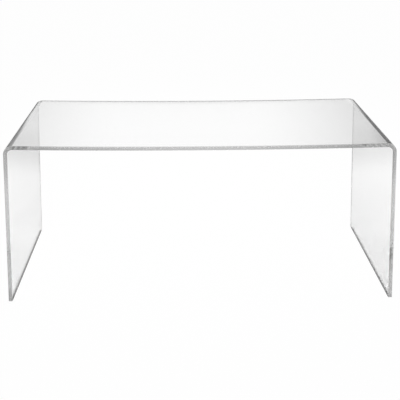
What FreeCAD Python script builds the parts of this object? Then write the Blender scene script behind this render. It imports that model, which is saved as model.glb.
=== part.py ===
import FreeCAD, Part
import math
import os

# Waterfall coffee table: one clear acrylic sheet, heat-bent twice, on four self-adhesive bumper feet.
# Millimetres, +Z up. The origin is on the floor under the middle of the top, X runs along the width, Y along
# the depth, and the front is at -Y. The legs spread a little towards the floor, because the bends keep their
# angle while the top hangs in a shallow curve between them.

# The sheet
TABLE_WIDTH = 1000.0  # across the two bends
TABLE_DEPTH = 610.0
SHEET_HEIGHT = 420.0  # from the legs' sawn ends to the highest line of the top
SHEET_THICKNESS = 10.0
BEND_INNER_RADIUS = 13.0
BEND_ANGLE = 90.0  # degrees that the sheet is turned through at each bend
TOP_DIP = 4.5  # how far the middle of the top hangs below its highest lines, at the bends
EDGE_ROUNDING = 0.6  # flame-polished arris on every sawn edge

# The bumper feet, stuck to the sawn ends of the legs
FOOT_HEIGHT = 1.8
FOOT_RIM_RADIUS = 1.0  # rounding between the foot's side and its sole
FOOT_MARGIN = 0.4  # from the foot's side to the rounded arris of the leg's end
FOOT_INSET = 45.0  # from the foot's axis to the front or rear edge of the sheet
ADHESIVE_THICKNESS = 0.2
ADHESIVE_MARGIN = 0.3  # from the adhesive disc's rim to the foot's side

# What follows from the driving dimensions
LEG_END_Z = FOOT_HEIGHT + ADHESIVE_THICKNESS
TABLE_HEIGHT = LEG_END_Z + SHEET_HEIGHT
BEND_OUTER_RADIUS = BEND_INNER_RADIUS + SHEET_THICKNESS
BEND_CENTRE_X = TABLE_WIDTH / 2 - BEND_OUTER_RADIUS
BEND_CENTRE_Z = TABLE_HEIGHT - BEND_OUTER_RADIUS
FOOT_RADIUS = SHEET_THICKNESS / 2 - EDGE_ROUNDING - FOOT_MARGIN
ADHESIVE_RADIUS = FOOT_RADIUS - ADHESIVE_MARGIN
TOP_END_SLOPE = 2 * math.atan2(TOP_DIP, BEND_CENTRE_X)  # slope of the dipped top where it meets a bend
LEG_LEAN = TOP_END_SLOPE + math.radians(90.0 - BEND_ANGLE)  # from upright, out at the floor

RIGHT, LEFT = 1, -1
FRONT, REAR = -1, 1
SIDES = {"left": LEFT, "right": RIGHT}
ENDS = {"front": FRONT, "rear": REAR}

UP = FreeCAD.Vector(0, 0, 1)
SAME_PLACE = 0.01  # edges this close to a plane lie in it


def in_profile(x, z):
    """A point of the sheet's profile, which lies in the plane of its front edge."""
    return FreeCAD.Vector(x, -TABLE_DEPTH / 2, z)


def round_bend(side, radius, angle):
    """The point at that radius from a bend's axis, with angle 0 level outwards and growing towards the top."""
    return in_profile(
        side * (BEND_CENTRE_X + radius * math.cos(angle)),
        BEND_CENTRE_Z + radius * math.sin(angle),
    )


def leg_face_x(radius, z):
    """Distance from the table's middle plane to the leg's face that continues the bend at that radius."""
    start_x = BEND_CENTRE_X + radius * math.cos(LEG_LEAN)
    start_z = BEND_CENTRE_Z + radius * math.sin(LEG_LEAN)
    return start_x + (start_z - z) * math.tan(LEG_LEAN)


def leg_end_middle_x():
    """Distance from the table's middle plane to the middle of a leg's sawn end."""
    outer = leg_face_x(BEND_OUTER_RADIUS, LEG_END_Z)
    inner = leg_face_x(BEND_INNER_RADIUS, LEG_END_Z)
    return (outer + inner) / 2


def skin(radius, depth_below_top):
    """One face of the bent sheet as curves in order, from the left leg's end over the top to the right leg's."""
    bend_start = LEG_LEAN
    bend_end = math.pi / 2 + TOP_END_SLOPE
    bend_middle = (bend_start + bend_end) / 2

    def leg_end(side):
        return in_profile(side * leg_face_x(radius, LEG_END_Z), LEG_END_Z)

    def bend(side):
        return [round_bend(side, radius, a) for a in (bend_start, bend_middle, bend_end)]

    left, right = bend(LEFT), bend(RIGHT)
    top_middle = in_profile(0, TABLE_HEIGHT - TOP_DIP - depth_below_top)
    return [
        Part.LineSegment(leg_end(LEFT), left[0]),
        Part.Arc(*left),
        Part.Arc(left[2], top_middle, right[2]) if TOP_DIP else Part.LineSegment(left[2], right[2]),
        Part.Arc(*reversed(right)),
        Part.LineSegment(right[0], leg_end(RIGHT)),
    ]


def sawn_edges(solid):
    """The edges that the saw left: both outlines of the profile, and the long edges of the two leg ends."""

    def is_sawn(edge):
        box = edge.BoundBox
        on_outline = box.YLength < SAME_PLACE
        on_leg_end = box.ZMax < LEG_END_Z + SAME_PLACE
        return on_outline or on_leg_end

    return [edge for edge in solid.Edges if is_sawn(edge)]


def bent_sheet():
    """The whole table in one piece of sheet: left leg, bend, top, bend, right leg."""
    outer = skin(BEND_OUTER_RADIUS, 0.0)
    inner = skin(BEND_INNER_RADIUS, SHEET_THICKNESS)
    leg_ends = [
        Part.LineSegment(inner[0].StartPoint, outer[0].StartPoint),
        Part.LineSegment(outer[-1].EndPoint, inner[-1].EndPoint),
    ]
    curves = outer + inner + leg_ends
    outline = Part.Wire(Part.__sortEdges__([curve.toShape() for curve in curves]))
    blank = Part.Face(outline).extrude(FreeCAD.Vector(0, TABLE_DEPTH, 0))
    return blank.makeFillet(EDGE_ROUNDING, sawn_edges(blank))


def foot_place(side, end):
    """The point on the floor under a foot's axis."""
    return FreeCAD.Vector(side * leg_end_middle_x(), end * (TABLE_DEPTH / 2 - FOOT_INSET), 0)


def bumper_foot(place):
    """A moulded polyurethane button with a rounded rim round its flat sole, its back against the adhesive."""
    button = Part.makeCylinder(FOOT_RADIUS, FOOT_HEIGHT, place, UP)
    sole_rim = [edge for edge in button.Edges if edge.BoundBox.ZMax < SAME_PLACE]
    return button.makeFillet(FOOT_RIM_RADIUS, sole_rim)


def adhesive_disc(place):
    """The clear adhesive film between a foot's back and the leg's sawn end."""
    return Part.makeCylinder(ADHESIVE_RADIUS, ADHESIVE_THICKNESS, place + UP * FOOT_HEIGHT, UP)


def pieces():
    """Every piece of the table under its name."""
    made = {"acrylic_sheet": bent_sheet()}
    for side_name, side in SIDES.items():
        for end_name, end in ENDS.items():
            place = foot_place(side, end)
            made[f"{end_name}_{side_name}_foot"] = bumper_foot(place)
            made[f"{end_name}_{side_name}_foot_adhesive"] = adhesive_disc(place)
    return made


os.makedirs("parts", exist_ok=True)
for name, shape in pieces().items():
    shape.exportStep(f"parts/{name}.step")
    box = shape.optimalBoundingBox(False, False)
    print(f"{name}: valid {shape.isValid()}, {len(shape.Solids)} solid, {shape.Volume / 1000:.3f} cm3, "
          f"{box.XLength:.2f} x {box.YLength:.2f} x {box.ZLength:.2f} mm")
print(f"each leg leans {math.degrees(LEG_LEAN):.2f} degrees, and its end is at x {leg_end_middle_x():.2f} mm")
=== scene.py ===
import math

import bmesh
import bpy
from bpy.props import FloatProperty, FloatVectorProperty, IntProperty, PointerProperty
from bpy.types import Operator, Panel, PropertyGroup
from mathutils import Matrix, Vector


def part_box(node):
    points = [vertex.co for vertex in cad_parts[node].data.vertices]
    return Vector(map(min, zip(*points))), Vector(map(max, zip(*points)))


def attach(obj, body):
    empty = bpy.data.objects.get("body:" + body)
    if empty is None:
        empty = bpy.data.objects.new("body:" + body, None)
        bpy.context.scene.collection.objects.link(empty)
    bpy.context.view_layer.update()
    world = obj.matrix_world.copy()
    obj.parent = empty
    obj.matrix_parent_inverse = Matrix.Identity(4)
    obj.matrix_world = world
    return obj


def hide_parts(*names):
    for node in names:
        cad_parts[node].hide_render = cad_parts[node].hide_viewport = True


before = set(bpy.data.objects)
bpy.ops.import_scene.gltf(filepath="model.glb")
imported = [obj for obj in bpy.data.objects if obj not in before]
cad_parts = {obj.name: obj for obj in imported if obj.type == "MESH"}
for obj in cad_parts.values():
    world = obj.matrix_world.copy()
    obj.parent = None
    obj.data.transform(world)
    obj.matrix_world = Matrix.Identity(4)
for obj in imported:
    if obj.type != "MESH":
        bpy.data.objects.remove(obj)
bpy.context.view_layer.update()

bl_info = {
    "name": "Waterfall Coffee Table",
    "version": (1, 0, 0),
    "blender": (4, 5, 0),
    "location": "3D View > Sidebar > Table",
    "description": "Dresses a heat-bent clear acrylic coffee table and sets a plain studio round it",
    "category": "Object",
}

# The frame's own boxes, in metres, with the front at -Y
SHEET_LOW, SHEET_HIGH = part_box("acrylic_sheet")
FOOT_PLACES = ("front_left", "front_right", "rear_left", "rear_right")

# Plain values that several pieces share
MM = 0.001
WHITE = (1.0, 1.0, 1.0, 1.0)
SAME_PLACE = 0.001 * MM  # corners this close are one corner
SAWN_ANGLE = math.radians(45)  # an edge of the sheet that turns by more than this was sawn
FLAT_FACE_WEIGHT = 100  # how far a large flat face leads the shading of the rounding beside it

# The Mix node's colour sockets, which go by number because its number sockets have the same names
MIX_COLOUR_A = 6
MIX_COLOUR_B = 7
MIX_COLOUR_RESULT = 2

# The camera that the photograph's edges give, with the picture taken as 400 by 400 pixels
PICTURE_PIXELS = 400
FOCAL_PIXELS = 1014.1
SENSOR_MM = 36.0
CAMERA_PLACE = Vector((-0.0544, -2.8064, 1.0148))
CAMERA_YAW = math.radians(1.201)
CAMERA_PITCH = math.radians(16.448)
CAMERA_ROLL = math.radians(-0.164)
CAMERA_REACH = 100.0  # past the far end of the floor

# The finish of the acrylic
ACRYLIC_IOR = 1.49
CAST_WAVE = 120 * MM  # length of the waves that casting between glass plates leaves in the faces
CAST_WAVE_HEIGHT = 0.015 * MM
WIPE_WIDTH = 5 * MM  # width of the faint marks of a polishing cloth
WIPE_LENGTH = 60 * MM
FACE_ROUGHNESS = (0.0, 0.03)
RIPPLE_WIDTH = 9 * MM  # width of the ripples that the flame leaves on a sawn edge
RIPPLE_HEIGHT = 0.002 * MM
EDGE_ROUGHNESS = (0.06, 0.14)

# The finish of the feet and their adhesive, at real scale, because it shows only from close by
POLYURETHANE_IOR = 1.5
MOULD_GRAIN = 0.25 * MM  # spark-eroded mould texture
MOULD_GRAIN_HEIGHT = 0.01 * MM
MOULD_ROUGHNESS = (0.22, 0.42)
FLOW_MARK = 3 * MM  # faint clouds where the resin met in the mould
ADHESIVE_IOR = 1.47
AIR_SPECK = 0.4 * MM  # spacing of the air trapped under the film
AIR_SPECK_RIM = (0.3, 0.15)  # shares of that spacing from a speck's middle, between which its rim fades in
AIR_SPECK_HEIGHT = AIR_SPECK / 20
FILM_ROUGHNESS = (0.15, 0.4)  # of the plain film and of a speck
FILM_RIM_SHARE = 0.25  # of the film's thickness, rounded on its rim by pressing
CLEAR_SHARE = 0.9  # of the light in a foot or a disc; the rest is scattered, which looks milky

# Light paths, by their bounces; a soft mask is gone at a pair's first value and whole at its second
FROM_FIRST_BOUNCE = (0, 1)
BEFORE_FIRST_BOUNCE = (1, 0)
MOST_BOUNCES = 64

# A panel behind the table with a painted glow that only mirrored light sees and that lights nothing, with a
# lower strip under it and a glowing patch at each end, in metres from the middle
PANEL_PLACE = 1.25
PANEL_SIZE = 4.0
PANEL_BASE = 0.25  # height of the cloth's lower rim
PANEL_MIDDLE = -0.03
PANEL_SIDE = (1.15, 0.25)  # out from that middle
PANEL_LEFT = (-0.84, -0.77)
PANEL_RIGHT = (0.80, 0.71)
PANEL_FOOT = (0.57, 0.62)
PANEL_HEAD = (1.5, 1.0)
STRIP_END = (0.66, 0.60)  # out from the panel's middle
STRIP_FOOT = (0.28, 0.32)
STRIP_HEAD = (0.52, 0.50)
END_GLOW_FOOT = (0.40, 0.44)
END_GLOW_HEAD = (0.68, 0.60)
STRIP_SHARE = 0.8  # brightness of the strip and the end patches, as a share of the panel's

# The room, by direction: how far it points to the rear, or its elevation
ROOM_LIT_SIDE = (-0.94, 0.34, 0.0)  # towards the lighter side of what is dim
ROOM_SPREAD = (-0.5, 1.0)  # how far a direction points there where the room is darkest and lightest
SKIRTING = (math.radians(5), math.radians(2))
SET_SIDE = (0.65, 0.80)
CAMERA_SIDE = (-0.75, -0.85)
CAMERA_SIDE_HEAD = (math.radians(24), math.radians(16))
CAMERA_SIDE_SHADE = 0.6

# The softbox over the table
SOFTBOX_SIZE = (0.6, 3.0)
SOFTBOX_PLACE = (0.0, 0.89, 1.15)
SOFTBOX_TURN = -math.radians(4)

# The floor, with painted shade that only mirrored light sees in front of the table, beside its legs and in a
# stretch behind it, and a painted contact shadow round the legs' ends
FLOOR_SIZE = 60.0
FLOOR_LIFT = 0.985  # share of plain white in the background; the rest is lit paint, which keeps the shadow
CONTACT_SHADOW_REACH = 12 * MM  # width of the painted contact shadow round the legs' ends
CONTACT_SHADOW_OPENNESS = (0.5, 1.0)
CONTACT_SHADOW_SAMPLES = 16
# Painted shade on the floor in front of the table and beside its legs, seen only by mirrored light
FRONT_PAINTED_SHADE = (-0.30, -0.50)
SIDE_PAINTED_SHADE_INNER = (SHEET_HIGH.x, SHEET_HIGH.x + 18 * MM)
SIDE_PAINTED_SHADE_OUTER = (0.80, 0.70)
SIDE_PAINTED_SHADE_REAR = (0.25, 0.15)
PAINTED_PATCH_SHADE = 0.8
# Painted shade on a stretch of floor behind the table, seen only by mirrored light
REAR_SHADE_NEAR = (0.9, 1.35)
REAR_SHADE_FAR = (1.9, 1.5)
REAR_SHADE_DEPTH = 0.24


def linear_from_hex(text):
    """An sRGB hex colour as linear red, green, blue and alpha, by the standard's own curve."""
    channels = [int(text[i:i + 2], 16) / 255 for i in (1, 3, 5)]
    linear = [c / 12.92 if c <= 0.04045 else ((c + 0.055) / 1.055) ** 2.4 for c in channels]
    return (*linear, 1.0)


class SheetSettings(PropertyGroup):
    """Sizes and colour of the bent acrylic sheet."""

    width: FloatProperty(name="Width", description="Across the two bends", default=1.0, unit="LENGTH")
    thickness: FloatProperty(
        name="Thickness", description="Gauge of the sheet", default=10 * MM, unit="LENGTH")
    bend_radius: FloatProperty(
        name="Bend radius", description="Inside radius of each bend", default=13 * MM, unit="LENGTH")
    top_dip: FloatProperty(
        name="Top dip", description="How far the middle of the top hangs", default=4.5 * MM, unit="LENGTH")
    arris: FloatProperty(
        name="Arris", description="Rounding of the sawn edges", default=0.6 * MM, unit="LENGTH")
    swell: FloatProperty(
        name="Bend swell", description="How far bending squeezes the inner side out of the sawn edges",
        default=0.6 * MM, unit="LENGTH")
    bend_steps: IntProperty(name="Bend steps", description="Facets round each bend", default=32, min=4)
    top_steps: IntProperty(name="Top steps", description="Facets along half of the top", default=24, min=1)
    arris_steps: IntProperty(
        name="Arris steps", description="Facets round each rounded edge", default=4, min=1)
    body_colour: FloatVectorProperty(
        name="Body colour", description="Tint that light keeps on its way through the sheet",
        default=linear_from_hex("#CACACA"), size=4, subtype="COLOR")
    body_density: FloatProperty(
        name="Body density", description="How much light each metre of sheet takes", default=1.2)


class FootSettings(PropertyGroup):
    """Rounding and colours of the bumper feet and of the adhesive under each leg's end."""

    sole_rounding: FloatProperty(
        name="Sole rounding", description="Radius between a foot's side and its sole", default=1.0 * MM,
        unit="LENGTH")
    back_rounding: FloatProperty(
        name="Back rounding", description="Radius round the back that the adhesive holds", default=0.15 * MM,
        unit="LENGTH")
    foot_colour: FloatVectorProperty(
        name="Foot colour", description="Clear polyurethane", default=linear_from_hex("#F4F4F0"), size=4,
        subtype="COLOR")
    cloud_colour: FloatVectorProperty(
        name="Cloud colour", description="Flow marks in the polyurethane", default=linear_from_hex("#E6E7E2"),
        size=4, subtype="COLOR")
    adhesive_colour: FloatVectorProperty(
        name="Adhesive colour", description="Clear adhesive film", default=linear_from_hex("#F0F0EC"), size=4,
        subtype="COLOR")
    speck_colour: FloatVectorProperty(
        name="Speck colour", description="Air trapped under the film", default=linear_from_hex("#D9DAD6"),
        size=4, subtype="COLOR")
    turn_steps: IntProperty(name="Turn steps", description="Facets round a foot", default=48, min=8)
    rounding_steps: IntProperty(
        name="Rounding steps", description="Facets across a rounding", default=6, min=1)


class StageSettings(PropertyGroup):
    """The studio round the table."""

    floor_colour: FloatVectorProperty(
        name="Floor colour", description="Painted floor", default=linear_from_hex("#F2F2F2"), size=4,
        subtype="COLOR")
    softbox_power: FloatProperty(
        name="Softbox power", description="Overhead softbox, in watts", default=25.2, unit="POWER")
    # Brightness of the panel's painted glow, which only mirrored light sees
    panel_level: FloatProperty(
        name="Panel level", description="Brightness of the lit panel behind", default=0.976, subtype="FACTOR")
    room_light: FloatProperty(
        name="Room, light side", description="Brightness of the dim room", default=0.44, subtype="FACTOR")
    room_dark: FloatProperty(
        name="Room, dark side", description="Brightness of the dim room", default=0.02, subtype="FACTOR")
    wall_level: FloatProperty(
        name="Wall level", description="Brightness of the pale walls", default=0.8, subtype="FACTOR")


def add_node(tree, kind, inputs=None, **settings):
    """Adds a node with its settings; an input is a value, an output, or a node for its first output."""
    node = tree.nodes.new(kind)
    for name, value in settings.items():
        setattr(node, name, value)
    for key, value in (inputs or {}).items():
        if isinstance(value, bpy.types.Node):
            value = value.outputs[0]
        if isinstance(value, bpy.types.NodeSocket):
            tree.links.new(value, node.inputs[key])
        else:
            node.inputs[key].default_value = value
    return node


def new_material(name):
    """An empty node material and its tree."""
    material = bpy.data.materials.new(name)
    material.use_nodes = True
    material.node_tree.nodes.clear()
    return material, material.node_tree


def soft_mask(tree, *sides):
    """A patch with soft sides: each side is a value, and the limits where the patch is gone and whole."""
    mask = 1.0
    for value, (gone, whole) in sides:
        ramp = add_node(
            tree, "ShaderNodeMapRange", {"Value": value, "From Min": gone, "From Max": whole},
            interpolation_type="SMOOTHSTEP")
        mask = add_node(tree, "ShaderNodeMath", {0: mask, 1: ramp}, operation="MULTIPLY")
    return mask


def sawn_edge_mask(tree, place, settings):
    """1 on the front and rear edges and the leg ends, which were sawn and polished, and 0 on the faces."""
    axes = add_node(tree, "ShaderNodeSeparateXYZ", {0: place})
    outward = add_node(tree, "ShaderNodeMath", {0: axes.outputs["Y"]}, operation="ABSOLUTE")
    front_or_rear = soft_mask(tree, (outward, (SHEET_HIGH.y - settings.arris, SHEET_HIGH.y)))
    leg_end = soft_mask(tree, (axes.outputs["Z"], (SHEET_LOW.z + settings.arris, SHEET_LOW.z)))
    return add_node(tree, "ShaderNodeMath", {0: front_or_rear, 1: leg_end}, operation="MAXIMUM")


def cast_acrylic(settings):
    """Cast PMMA sheet with polished faces and sawn, flame-polished edges.

    The faces are all but invisible, with long casting waves and faint wipe marks in what they mirror.
    The edges are glossy and slightly rippled, and the long way through them turns the light grey.
    """
    material, tree = new_material("cast_acrylic_flame_polished")
    place = add_node(tree, "ShaderNodeTexCoord").outputs["Object"]
    edge = sawn_edge_mask(tree, place, settings)
    waves = add_node(tree, "ShaderNodeTexNoise", {"Vector": place, "Scale": 1 / CAST_WAVE, "Detail": 0.0})
    ripples = add_node(tree, "ShaderNodeTexNoise", {
        "Vector": place, "Scale": 1 / RIPPLE_WIDTH, "Detail": 1.0})
    wave_height = add_node(tree, "ShaderNodeMath", {0: waves, 1: CAST_WAVE_HEIGHT}, operation="MULTIPLY")
    edge_ripples = add_node(tree, "ShaderNodeMath", {0: ripples, 1: edge}, operation="MULTIPLY")
    height = add_node(tree, "ShaderNodeMath", {
        0: edge_ripples, 1: RIPPLE_HEIGHT, 2: wave_height}, operation="MULTIPLY_ADD")
    bump = add_node(tree, "ShaderNodeBump", {"Strength": 1.0, "Distance": 1.0, "Height": height})
    along_wipes = add_node(tree, "ShaderNodeMapping", {
        "Vector": place, "Scale": (1 / WIPE_LENGTH, 1 / WIPE_WIDTH, 1 / WIPE_LENGTH)})
    wipes = add_node(tree, "ShaderNodeTexNoise", {"Vector": along_wipes, "Scale": 1.0, "Detail": 2.0})
    face_roughness = add_node(tree, "ShaderNodeMapRange", {
        "Value": wipes, "To Min": FACE_ROUGHNESS[0], "To Max": FACE_ROUGHNESS[1]})
    edge_roughness = add_node(tree, "ShaderNodeMapRange", {
        "Value": ripples, "To Min": EDGE_ROUGHNESS[0], "To Max": EDGE_ROUGHNESS[1]})
    roughness = add_node(tree, "ShaderNodeMix", {
        "Factor": edge, "A": face_roughness, "B": edge_roughness}, data_type="FLOAT")
    shader = add_node(tree, "ShaderNodeBsdfPrincipled", {
        "Base Color": WHITE, "Roughness": roughness, "IOR": ACRYLIC_IOR, "Transmission Weight": 1.0,
        "Normal": bump})
    body = add_node(tree, "ShaderNodeVolumeAbsorption", {
        "Color": settings.body_colour, "Density": settings.body_density})
    add_node(tree, "ShaderNodeOutputMaterial", {"Surface": shader, "Volume": body})
    return material


def moulded_polyurethane(settings):
    """Clear polyurethane, cast in a spark-eroded mould: milky and soft-edged beside the acrylic."""
    material, tree = new_material("moulded_clear_polyurethane")
    place = add_node(tree, "ShaderNodeTexCoord").outputs["Object"]
    clouds = add_node(tree, "ShaderNodeTexNoise", {"Vector": place, "Scale": 1 / FLOW_MARK, "Detail": 2.0})
    grain = add_node(tree, "ShaderNodeTexNoise", {"Vector": place, "Scale": 1 / MOULD_GRAIN, "Detail": 1.0})
    colour = add_node(tree, "ShaderNodeMix", {
        "Factor": clouds, MIX_COLOUR_A: settings.foot_colour, MIX_COLOUR_B: settings.cloud_colour},
        data_type="RGBA")
    roughness = add_node(tree, "ShaderNodeMapRange", {
        "Value": grain, "To Min": MOULD_ROUGHNESS[0], "To Max": MOULD_ROUGHNESS[1]})
    bump = add_node(tree, "ShaderNodeBump", {
        "Strength": 1.0, "Distance": MOULD_GRAIN_HEIGHT, "Height": grain})
    shader = add_node(tree, "ShaderNodeBsdfPrincipled", {
        "Base Color": colour.outputs[MIX_COLOUR_RESULT], "Roughness": roughness, "IOR": POLYURETHANE_IOR,
        "Transmission Weight": CLEAR_SHARE, "Normal": bump})
    add_node(tree, "ShaderNodeOutputMaterial", {"Surface": shader})
    return material


def adhesive_film(settings):
    """Clear acrylic adhesive film, die-cut and pressed on: slightly hazy with specks of trapped air."""
    material, tree = new_material("pressed_clear_adhesive")
    place = add_node(tree, "ShaderNodeTexCoord").outputs["Object"]
    specks = add_node(tree, "ShaderNodeTexVoronoi", {"Vector": place, "Scale": 1 / AIR_SPECK})
    speck = soft_mask(tree, (specks.outputs["Distance"], AIR_SPECK_RIM))
    colour = add_node(tree, "ShaderNodeMix", {
        "Factor": speck, MIX_COLOUR_A: settings.adhesive_colour, MIX_COLOUR_B: settings.speck_colour},
        data_type="RGBA")
    roughness = add_node(tree, "ShaderNodeMapRange", {
        "Value": speck, "To Min": FILM_ROUGHNESS[0], "To Max": FILM_ROUGHNESS[1]})
    bump = add_node(tree, "ShaderNodeBump", {"Strength": 1.0, "Distance": AIR_SPECK_HEIGHT, "Height": speck})
    shader = add_node(tree, "ShaderNodeBsdfPrincipled", {
        "Base Color": colour.outputs[MIX_COLOUR_RESULT], "Roughness": roughness, "IOR": ADHESIVE_IOR,
        "Transmission Weight": CLEAR_SHARE, "Normal": bump})
    add_node(tree, "ShaderNodeOutputMaterial", {"Surface": shader})
    return material


def finish_piece(name, shape, material, body="root", nodes=()):
    """Makes an object of the finished bmesh, and ties it to the frame."""
    bmesh.ops.remove_doubles(shape, verts=shape.verts, dist=SAME_PLACE)
    bmesh.ops.recalc_face_normals(shape, faces=shape.faces)
    for face in shape.faces:
        face.smooth = True
    mesh = bpy.data.meshes.new(name)
    shape.to_mesh(mesh)
    shape.free()
    mesh.materials.append(material)
    piece = bpy.data.objects.new(name, mesh)
    bpy.context.scene.collection.objects.link(piece)
    weighted = piece.modifiers.new("flat_faces_stay_flat", "WEIGHTED_NORMAL")
    weighted.weight = FLAT_FACE_WEIGHT
    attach(piece, body)
    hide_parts(*nodes)
    return piece


def bend_layout(settings):
    """The right bend's axis in the plane of the front, and the slope of the dipped top where they meet."""
    outer_radius = settings.bend_radius + settings.thickness
    axis = Vector((settings.width / 2 - outer_radius, SHEET_LOW.y, SHEET_HIGH.z - outer_radius))
    return axis, 2 * math.atan2(settings.top_dip, axis.x)


def half_profile(shape, settings):
    """The sheet's right half in the plane of the front: from the middle of the top to the leg's end."""
    bend_axis, slope = bend_layout(settings)
    top_z = SHEET_HIGH.z - settings.top_dip
    top_axis = Vector((0, SHEET_LOW.y, bend_axis.z + bend_axis.x / math.tan(slope)))
    upper = shape.verts.new((0, SHEET_LOW.y, top_z))
    lower = shape.verts.new((0, SHEET_LOW.y, top_z - settings.thickness))
    section = [shape.edges.new((upper, lower))]
    for axis, angle, steps in (
        (top_axis, -slope, settings.top_steps),
        (bend_axis, math.pi / 2, settings.bend_steps),
    ):
        turned = bmesh.ops.spin(shape, geom=section, cent=axis, axis=(0, 1, 0), angle=angle, steps=steps)
        section = [e for e in turned["geom_last"] if isinstance(e, bmesh.types.BMEdge)]
    leg = bmesh.ops.extrude_edge_only(shape, edges=section)
    for vert in leg["geom"]:
        if isinstance(vert, bmesh.types.BMVert):
            drop = vert.co.z - SHEET_LOW.z
            vert.co += Vector((drop * math.tan(slope), 0, -drop))


def swell_bends(shape, settings):
    """Squeezes each bend's inner side out of the sawn edges and draws its outer side in.

    Heat-bending does this, because it presses the inner side together and stretches the outer side.
    """
    axis, slope = bend_layout(settings)
    half_thickness = settings.thickness / 2
    for vert in shape.verts:
        out, up = abs(vert.co.x) - axis.x, vert.co.z - axis.z
        share = (math.atan2(up, out) - slope) / (math.pi / 2)
        if 0 < share < 1:
            inward = (settings.bend_radius + half_thickness - math.hypot(out, up)) / half_thickness
            push = settings.swell * math.sin(math.pi * share) ** 2 * inward
            vert.co.y += math.copysign(push, vert.co.y)


def bent_sheet_shape(settings):
    """The closed sheet: half a profile, mirrored, drawn back over the depth, with its sawn edges rounded."""
    shape = bmesh.new()
    half_profile(shape, settings)
    whole = shape.verts[:] + shape.edges[:] + shape.faces[:]
    bmesh.ops.mirror(shape, geom=whole, matrix=Matrix.Identity(4), merge_dist=SAME_PLACE, axis="X")
    bmesh.ops.recalc_face_normals(shape, faces=shape.faces)
    drawn = bmesh.ops.extrude_face_region(shape, geom=shape.faces[:])
    moved = [v for v in drawn["geom"] if isinstance(v, bmesh.types.BMVert)]
    bmesh.ops.translate(shape, verts=moved, vec=(0, SHEET_HIGH.y - SHEET_LOW.y, 0))
    bmesh.ops.recalc_face_normals(shape, faces=shape.faces)
    sawn = [e for e in shape.edges if len(e.link_faces) == 2 and e.calc_face_angle() > SAWN_ANGLE]
    bmesh.ops.bevel(
        shape, geom=sawn, offset=settings.arris, offset_type="OFFSET", affect="EDGES",
        segments=settings.arris_steps, profile=0.5, material=-1)
    swell_bends(shape, settings)
    return shape


class TABLE_OT_bend_sheet(Operator):
    """Bend the clear acrylic sheet: left leg, bend, top, bend, right leg"""

    bl_idname = "table.bend_sheet"
    bl_label = "Bend the acrylic sheet"

    def execute(self, context):
        settings = context.scene.table_sheet
        shape = bent_sheet_shape(settings)
        finish_piece(
            "bent_acrylic_sheet", shape, cast_acrylic(settings),
            nodes=["acrylic_sheet"])
        return {"FINISHED"}


def turned_shape(low, high, roundings, settings):
    """A round piece that fills the box between two corners, with its lower and upper rims rounded.

    Half of its section is drawn from the axis out and back, its two corners are rounded, and it is spun.
    """
    shape = bmesh.new()
    middle = (low + high) / 2
    corners = [
        shape.verts.new(point)
        for point in (
            (middle.x, middle.y, low.z),
            (high.x, middle.y, low.z),
            (high.x, middle.y, high.z),
            (middle.x, middle.y, high.z),
        )
    ]
    for pair in zip(corners, corners[1:]):
        shape.edges.new(pair)
    for corner, radius in zip(corners[1:3], roundings):
        bmesh.ops.bevel(
            shape, geom=[corner], offset=radius, offset_type="OFFSET", affect="VERTICES",
            segments=settings.rounding_steps, profile=0.5, material=-1)
    bmesh.ops.spin(
        shape, geom=shape.verts[:] + shape.edges[:], cent=middle, axis=(0, 0, 1), angle=math.tau,
        steps=settings.turn_steps, use_merge=True)
    return shape


class TABLE_OT_mould_feet(Operator):
    """Mould the four clear bumper feet"""

    bl_idname = "table.mould_feet"
    bl_label = "Mould the bumper feet"

    def execute(self, context):
        settings = context.scene.table_feet
        material = moulded_polyurethane(settings)
        for place in FOOT_PLACES:
            node = f"{place}_foot"
            roundings = (settings.sole_rounding, settings.back_rounding)
            shape = turned_shape(*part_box(node), roundings, settings)
            finish_piece(f"{place}_bumper", shape, material, nodes=[node])
        return {"FINISHED"}


class TABLE_OT_cut_adhesive(Operator):
    """Cut the adhesive discs that hold the feet to the leg ends"""

    bl_idname = "table.cut_adhesive"
    bl_label = "Cut the adhesive discs"

    def execute(self, context):
        settings = context.scene.table_feet
        material = adhesive_film(settings)
        for place in FOOT_PLACES:
            node = f"{place}_foot_adhesive"
            low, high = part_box(node)
            rim = (high.z - low.z) * FILM_RIM_SHARE
            shape = turned_shape(low, high, (rim, rim), settings)
            finish_piece(f"{place}_adhesive_disc", shape, material, nodes=[node])
        return {"FINISHED"}


def clear_view(tree):
    """1 where the camera looks straight at the stage, or only through clear panes, and 0 on a mirrored path.

    Mirrored light sees the studio and not the white background. A clear sheet's sawn edges and bends show
    nothing else, and with white on every side they would vanish into it.
    """
    path = add_node(tree, "ShaderNodeLightPath")
    return soft_mask(
        tree, (path.outputs["Glossy Depth"], BEFORE_FIRST_BOUNCE),
        (path.outputs["Diffuse Depth"], BEFORE_FIRST_BOUNCE))


def dim_room_mask(tree, axes):
    """1 where the room is dim: along the floor, behind the set and, less so, low on the camera's side."""
    elevation = add_node(tree, "ShaderNodeMath", {0: axes.outputs["Z"]}, operation="ARCSINE")
    skirting = soft_mask(tree, (elevation, SKIRTING))
    set_side = soft_mask(tree, (axes.outputs["Y"], SET_SIDE))
    camera_side = soft_mask(tree, (axes.outputs["Y"], CAMERA_SIDE), (elevation, CAMERA_SIDE_HEAD))
    less_dim = add_node(tree, "ShaderNodeMath", {0: camera_side, 1: CAMERA_SIDE_SHADE}, operation="MULTIPLY")
    dimmest = add_node(tree, "ShaderNodeMath", {0: skirting, 1: set_side}, operation="MAXIMUM")
    return add_node(tree, "ShaderNodeMath", {0: dimmest, 1: less_dim}, operation="MAXIMUM")


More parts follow.
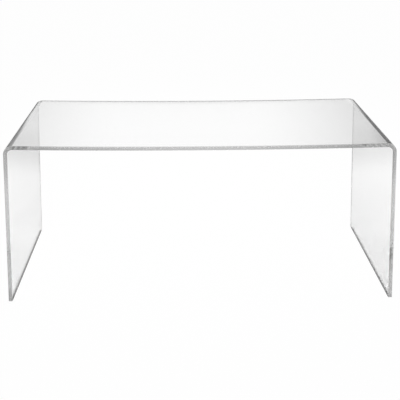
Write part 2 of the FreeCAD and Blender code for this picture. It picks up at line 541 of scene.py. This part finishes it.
def studio_world(scene, settings):
    """A room with pale walls that are dim in places, seen by mirrored light.

    The camera, and clear plastic in front of it, see plain white. The floor is lit by the dim room only.
    """
    world = bpy.data.worlds.new("studio_room")
    world.use_nodes = True
    tree = world.node_tree
    tree.nodes.clear()
    direction = add_node(tree, "ShaderNodeTexCoord").outputs["Generated"]
    axes = add_node(tree, "ShaderNodeSeparateXYZ", {0: direction})
    lit_side = add_node(
        tree, "ShaderNodeVectorMath", {0: direction, 1: ROOM_LIT_SIDE}, operation="DOT_PRODUCT")
    room = add_node(tree, "ShaderNodeMapRange", {
        "Value": lit_side.outputs["Value"], "From Min": ROOM_SPREAD[0], "From Max": ROOM_SPREAD[1],
        "To Min": settings.room_dark, "To Max": settings.room_light})
    path = add_node(tree, "ShaderNodeLightPath")
    lighting = soft_mask(tree, (path.outputs["Diffuse Depth"], FROM_FIRST_BOUNCE))
    dim = add_node(tree, "ShaderNodeMath", {0: lighting, 1: dim_room_mask(tree, axes)}, operation="MAXIMUM")
    walls = add_node(tree, "ShaderNodeMix", {
        "Factor": dim, "A": settings.wall_level, "B": room}, data_type="FLOAT")
    level = add_node(tree, "ShaderNodeMix", {
        "Factor": clear_view(tree), "A": walls, "B": 1.0}, data_type="FLOAT")
    background = add_node(tree, "ShaderNodeBackground", {"Color": WHITE, "Strength": level})
    add_node(tree, "ShaderNodeOutputWorld", {"Surface": background})
    # Kept out of the lamp sampling, which would make the clear edges grainy
    world.cycles.sampling_method = "NONE"
    scene.world = world


def stage_material(name):
    """An empty stage material, kept out of the lamp sampling, which would make the clear edges grainy."""
    material, tree = new_material(name)
    material.cycles.emission_sampling = "NONE"
    return material, tree


def floor_shade(tree):
    """The share of the floor's light that painted shade takes from mirrored light: in front of the table,
    beside its legs and in a stretch behind.
    """
    place = add_node(tree, "ShaderNodeTexCoord").outputs["Object"]
    axes = add_node(tree, "ShaderNodeSeparateXYZ", {0: place})
    backward = axes.outputs["Y"]
    sideways = add_node(tree, "ShaderNodeMath", {0: axes.outputs["X"]}, operation="ABSOLUTE")
    # Painted shade in front of the table and beside the legs
    front_shade_patch = soft_mask(tree, (backward, FRONT_PAINTED_SHADE))
    side_shade_patch = soft_mask(
        tree, (sideways, SIDE_PAINTED_SHADE_INNER), (sideways, SIDE_PAINTED_SHADE_OUTER), (backward, SIDE_PAINTED_SHADE_REAR))
    shade_patches = add_node(tree, "ShaderNodeMath", {0: front_shade_patch, 1: side_shade_patch}, operation="MAXIMUM")
    patch_shade = add_node(tree, "ShaderNodeMath", {0: shade_patches, 1: PAINTED_PATCH_SHADE}, operation="MULTIPLY")
    # Painted shade on the stretch of floor behind the table
    rear_shade_patch = soft_mask(tree, (backward, REAR_SHADE_NEAR), (backward, REAR_SHADE_FAR))
    rear_shade = add_node(tree, "ShaderNodeMath", {0: rear_shade_patch, 1: REAR_SHADE_DEPTH}, operation="MULTIPLY")
    return add_node(tree, "ShaderNodeMath", {0: patch_shade, 1: rear_shade}, operation="MAXIMUM")


def floor_paint(settings):
    """Matt white floor paint, lit and shaded as paint, and lifted to white where it is the background. Where
    the camera doesn't look straight at it, it also carries painted shade: a contact shadow round the legs'
    ends, and patches that only mirrored light sees.
    """
    material, tree = stage_material("matt_floor_paint")
    background = clear_view(tree)
    paint = add_node(tree, "ShaderNodeBsdfDiffuse", {"Color": settings.floor_colour})
    white = add_node(tree, "ShaderNodeEmission", {"Color": WHITE, "Strength": 1.0})
    lift = add_node(tree, "ShaderNodeMath", {0: background, 1: FLOOR_LIFT}, operation="MULTIPLY")
    lit = add_node(tree, "ShaderNodeMixShader", {0: lift, 1: paint, 2: white})
    # Painted contact shadow: the floor darkens where it is occluded near the legs' ends, seen through the
    # sheet and by mirrored light, but not by the camera directly
    contact_occlusion = add_node(tree, "ShaderNodeAmbientOcclusion", {"Distance": CONTACT_SHADOW_REACH}, samples=CONTACT_SHADOW_SAMPLES)
    clear_of_contact_shadow = soft_mask(tree, (contact_occlusion.outputs["AO"], CONTACT_SHADOW_OPENNESS))
    mirrored = add_node(tree, "ShaderNodeMath", {0: 1.0, 1: background}, operation="SUBTRACT")
    shade = add_node(tree, "ShaderNodeMath", {0: floor_shade(tree), 1: mirrored}, operation="MULTIPLY")
    unshaded = add_node(tree, "ShaderNodeMath", {0: 1.0, 1: shade}, operation="SUBTRACT")
    dimmed = add_node(tree, "ShaderNodeMath", {0: clear_of_contact_shadow, 1: unshaded}, operation="MULTIPLY")
    path = add_node(tree, "ShaderNodeLightPath")
    seen = add_node(tree, "ShaderNodeMath", {
        0: dimmed, 1: path.outputs["Is Camera Ray"]}, operation="MAXIMUM")
    whole = add_node(tree, "ShaderNodeMixShader", {0: seen, 2: lit})
    add_node(tree, "ShaderNodeOutputMaterial", {"Surface": whole})
    return material


def glow_where(tree, cover, level):
    """Ends a material that glows white at that level where cover is 1, and lets light past where it is 0."""
    gap = add_node(tree, "ShaderNodeBsdfTransparent")
    glow = add_node(tree, "ShaderNodeEmission", {"Color": WHITE, "Strength": level})
    cloth = add_node(tree, "ShaderNodeMixShader", {0: cover, 1: gap, 2: glow})
    add_node(tree, "ShaderNodeOutputMaterial", {"Surface": cloth})


def painted_reflection_glow(settings):
    """Painted reflection: a white glow, seen only by mirrored light and lighting nothing, on the panel, the
    lower strip and a patch at each end.
    """
    material, tree = stage_material("painted_reflection_cloth")
    place = add_node(tree, "ShaderNodeTexCoord").outputs["Object"]
    axes = add_node(tree, "ShaderNodeSeparateXYZ", {0: place})
    sideways, height = axes.outputs["X"], axes.outputs["Z"]
    offset = add_node(tree, "ShaderNodeMath", {0: sideways, 1: PANEL_MIDDLE}, operation="SUBTRACT")
    across = add_node(tree, "ShaderNodeMath", {0: offset}, operation="ABSOLUTE")
    panel = soft_mask(tree, (across, PANEL_SIDE), (height, PANEL_FOOT), (height, PANEL_HEAD))
    strip = soft_mask(tree, (height, STRIP_FOOT), (height, STRIP_HEAD))
    end_glow = soft_mask(tree, (height, END_GLOW_FOOT), (height, END_GLOW_HEAD))
    low = add_node(tree, "ShaderNodeMix", {
        "Factor": soft_mask(tree, (across, STRIP_END)), "A": end_glow, "B": strip}, data_type="FLOAT")
    low_level = add_node(tree, "ShaderNodeMath", {0: low, 1: STRIP_SHARE}, operation="MULTIPLY")
    lit = add_node(tree, "ShaderNodeMath", {0: panel, 1: low_level}, operation="MAXIMUM")
    # Shown only on mirrored paths, so the glow is a painted reflection that lights nothing
    path = add_node(tree, "ShaderNodeLightPath")
    shown = soft_mask(
        tree, (sideways, PANEL_LEFT), (sideways, PANEL_RIGHT),
        (path.outputs["Glossy Depth"], FROM_FIRST_BOUNCE),
        (path.outputs["Diffuse Depth"], BEFORE_FIRST_BOUNCE))
    cover = add_node(tree, "ShaderNodeMath", {0: lit, 1: shown}, operation="MULTIPLY")
    glow_where(tree, cover, settings.panel_level)
    return material


def softbox_cloth(level):
    """The softbox's own cloth, seen only by light that the clear sheet passes on to the floor below it."""
    material, tree = stage_material("softbox_cloth")
    path = add_node(tree, "ShaderNodeLightPath")
    passed_on = soft_mask(
        tree, (path.outputs["Diffuse Depth"], FROM_FIRST_BOUNCE),
        (path.outputs["Is Transmission Ray"], FROM_FIRST_BOUNCE))
    glow_where(tree, passed_on, level)
    return material


def stage_sheet(name, size, turn, material):
    """A flat sheet of the stage, turned and set in its place."""
    shape = bmesh.new()
    bmesh.ops.create_grid(shape, x_segments=1, y_segments=1, size=1.0)
    bmesh.ops.scale(shape, verts=shape.verts, vec=(size[0] / 2, size[1] / 2, 1.0))
    bmesh.ops.transform(shape, verts=shape.verts, matrix=turn)
    mesh = bpy.data.meshes.new(name)
    shape.to_mesh(mesh)
    shape.free()
    mesh.materials.append(material)
    sheet = bpy.data.objects.new(name, mesh)
    bpy.context.scene.collection.objects.link(sheet)
    return sheet


def lay_floor(settings):
    """A floor far larger than the view."""
    stage_sheet("studio_floor", (FLOOR_SIZE, FLOOR_SIZE), Matrix.Identity(4), floor_paint(settings))


def hang_panel(settings):
    """A panel that hangs behind the table with a painted glow that only mirrored light sees."""
    upright = Matrix.Rotation(math.pi / 2, 4, "X")
    place = Matrix.Translation((0, PANEL_PLACE, PANEL_BASE + PANEL_SIZE / 2))
    panel = stage_sheet("painted_reflection_panel", (PANEL_SIZE, PANEL_SIZE), place @ upright, painted_reflection_glow(settings))
    panel.visible_shadow = False


def hang_softbox(settings):
    """One broad softbox over the table, with a cloth of the same brightness in its place.

    The lamp is hidden from mirrored and see-through rays, because chance hits on it would speckle the edges.
    """
    light = bpy.data.lights.new("overhead_softbox", "AREA")
    light.shape = "RECTANGLE"
    light.size, light.size_y = SOFTBOX_SIZE
    light.energy = settings.softbox_power
    lamp = bpy.data.objects.new("overhead_softbox", light)
    lamp.matrix_world = Matrix.Translation(SOFTBOX_PLACE) @ Matrix.Rotation(SOFTBOX_TURN, 4, "Z")
    lamp.visible_camera = False
    lamp.visible_glossy = False
    lamp.visible_transmission = False
    bpy.context.scene.collection.objects.link(lamp)
    level = settings.softbox_power / (math.pi * SOFTBOX_SIZE[0] * SOFTBOX_SIZE[1])
    cloth = stage_sheet("softbox_cloth", SOFTBOX_SIZE, lamp.matrix_world, softbox_cloth(level))
    cloth.visible_shadow = False


def aim_camera(scene):
    """The photograph's viewpoint."""
    data = bpy.data.cameras.new("photo_camera")
    data.sensor_width = SENSOR_MM
    data.lens = FOCAL_PIXELS / PICTURE_PIXELS * SENSOR_MM
    data.clip_end = CAMERA_REACH
    camera = bpy.data.objects.new("photo_camera", data)
    turn = Matrix.Rotation(-CAMERA_YAW, 4, "Z") @ Matrix.Rotation(math.pi / 2 - CAMERA_PITCH, 4, "X")
    camera.matrix_world = Matrix.Translation(CAMERA_PLACE) @ turn @ Matrix.Rotation(CAMERA_ROLL, 4, "Z")
    scene.collection.objects.link(camera)
    scene.camera = camera


def follow_light(scene):
    """Light paths long enough for clear acrylic."""
    # Light that enters a sawn edge is turned back inside the sheet many times before it leaves
    scene.cycles.max_bounces = MOST_BOUNCES
    scene.cycles.glossy_bounces = MOST_BOUNCES
    scene.cycles.transmission_bounces = MOST_BOUNCES
    # None of it is dropped by chance on the way, which would make the edges grainy
    scene.cycles.min_light_bounces = MOST_BOUNCES
    # Lamp light falls through the clear top onto the floor unblurred
    scene.cycles.blur_glossy = 0.0


class TABLE_OT_set_stage(Operator):
    """Lay the floor, hang the light and aim the camera"""

    bl_idname = "table.set_stage"
    bl_label = "Set the stage"

    def execute(self, context):
        scene = context.scene
        settings = scene.table_stage
        studio_world(scene, settings)
        lay_floor(settings)
        hang_panel(settings)
        hang_softbox(settings)
        aim_camera(scene)
        follow_light(scene)
        scene.view_settings.view_transform = "Standard"
        return {"FINISHED"}


class TABLE_PT_panel(Panel):
    """The table's pieces and stage, in the order that they are made"""

    bl_idname = "TABLE_PT_panel"
    bl_label = "Waterfall coffee table"
    bl_space_type = "VIEW_3D"
    bl_region_type = "UI"
    bl_category = "Table"

    def draw(self, context):
        for operator in OPERATORS:
            self.layout.operator(operator.bl_idname)


OPERATORS = (TABLE_OT_bend_sheet, TABLE_OT_mould_feet, TABLE_OT_cut_adhesive, TABLE_OT_set_stage)
CLASSES = (SheetSettings, FootSettings, StageSettings, *OPERATORS, TABLE_PT_panel)


def register():
    for cls in CLASSES:
        bpy.utils.register_class(cls)
    bpy.types.Scene.table_sheet = PointerProperty(type=SheetSettings)
    bpy.types.Scene.table_feet = PointerProperty(type=FootSettings)
    bpy.types.Scene.table_stage = PointerProperty(type=StageSettings)


def unregister():
    del bpy.types.Scene.table_stage
    del bpy.types.Scene.table_feet
    del bpy.types.Scene.table_sheet
    for cls in reversed(CLASSES):
        bpy.utils.unregister_class(cls)


def main():
    """Makes the table and its stage."""
    register()
    bpy.ops.table.bend_sheet()
    bpy.ops.table.mould_feet()
    bpy.ops.table.cut_adhesive()
    bpy.ops.table.set_stage()


if __name__ == "__main__":
    main()
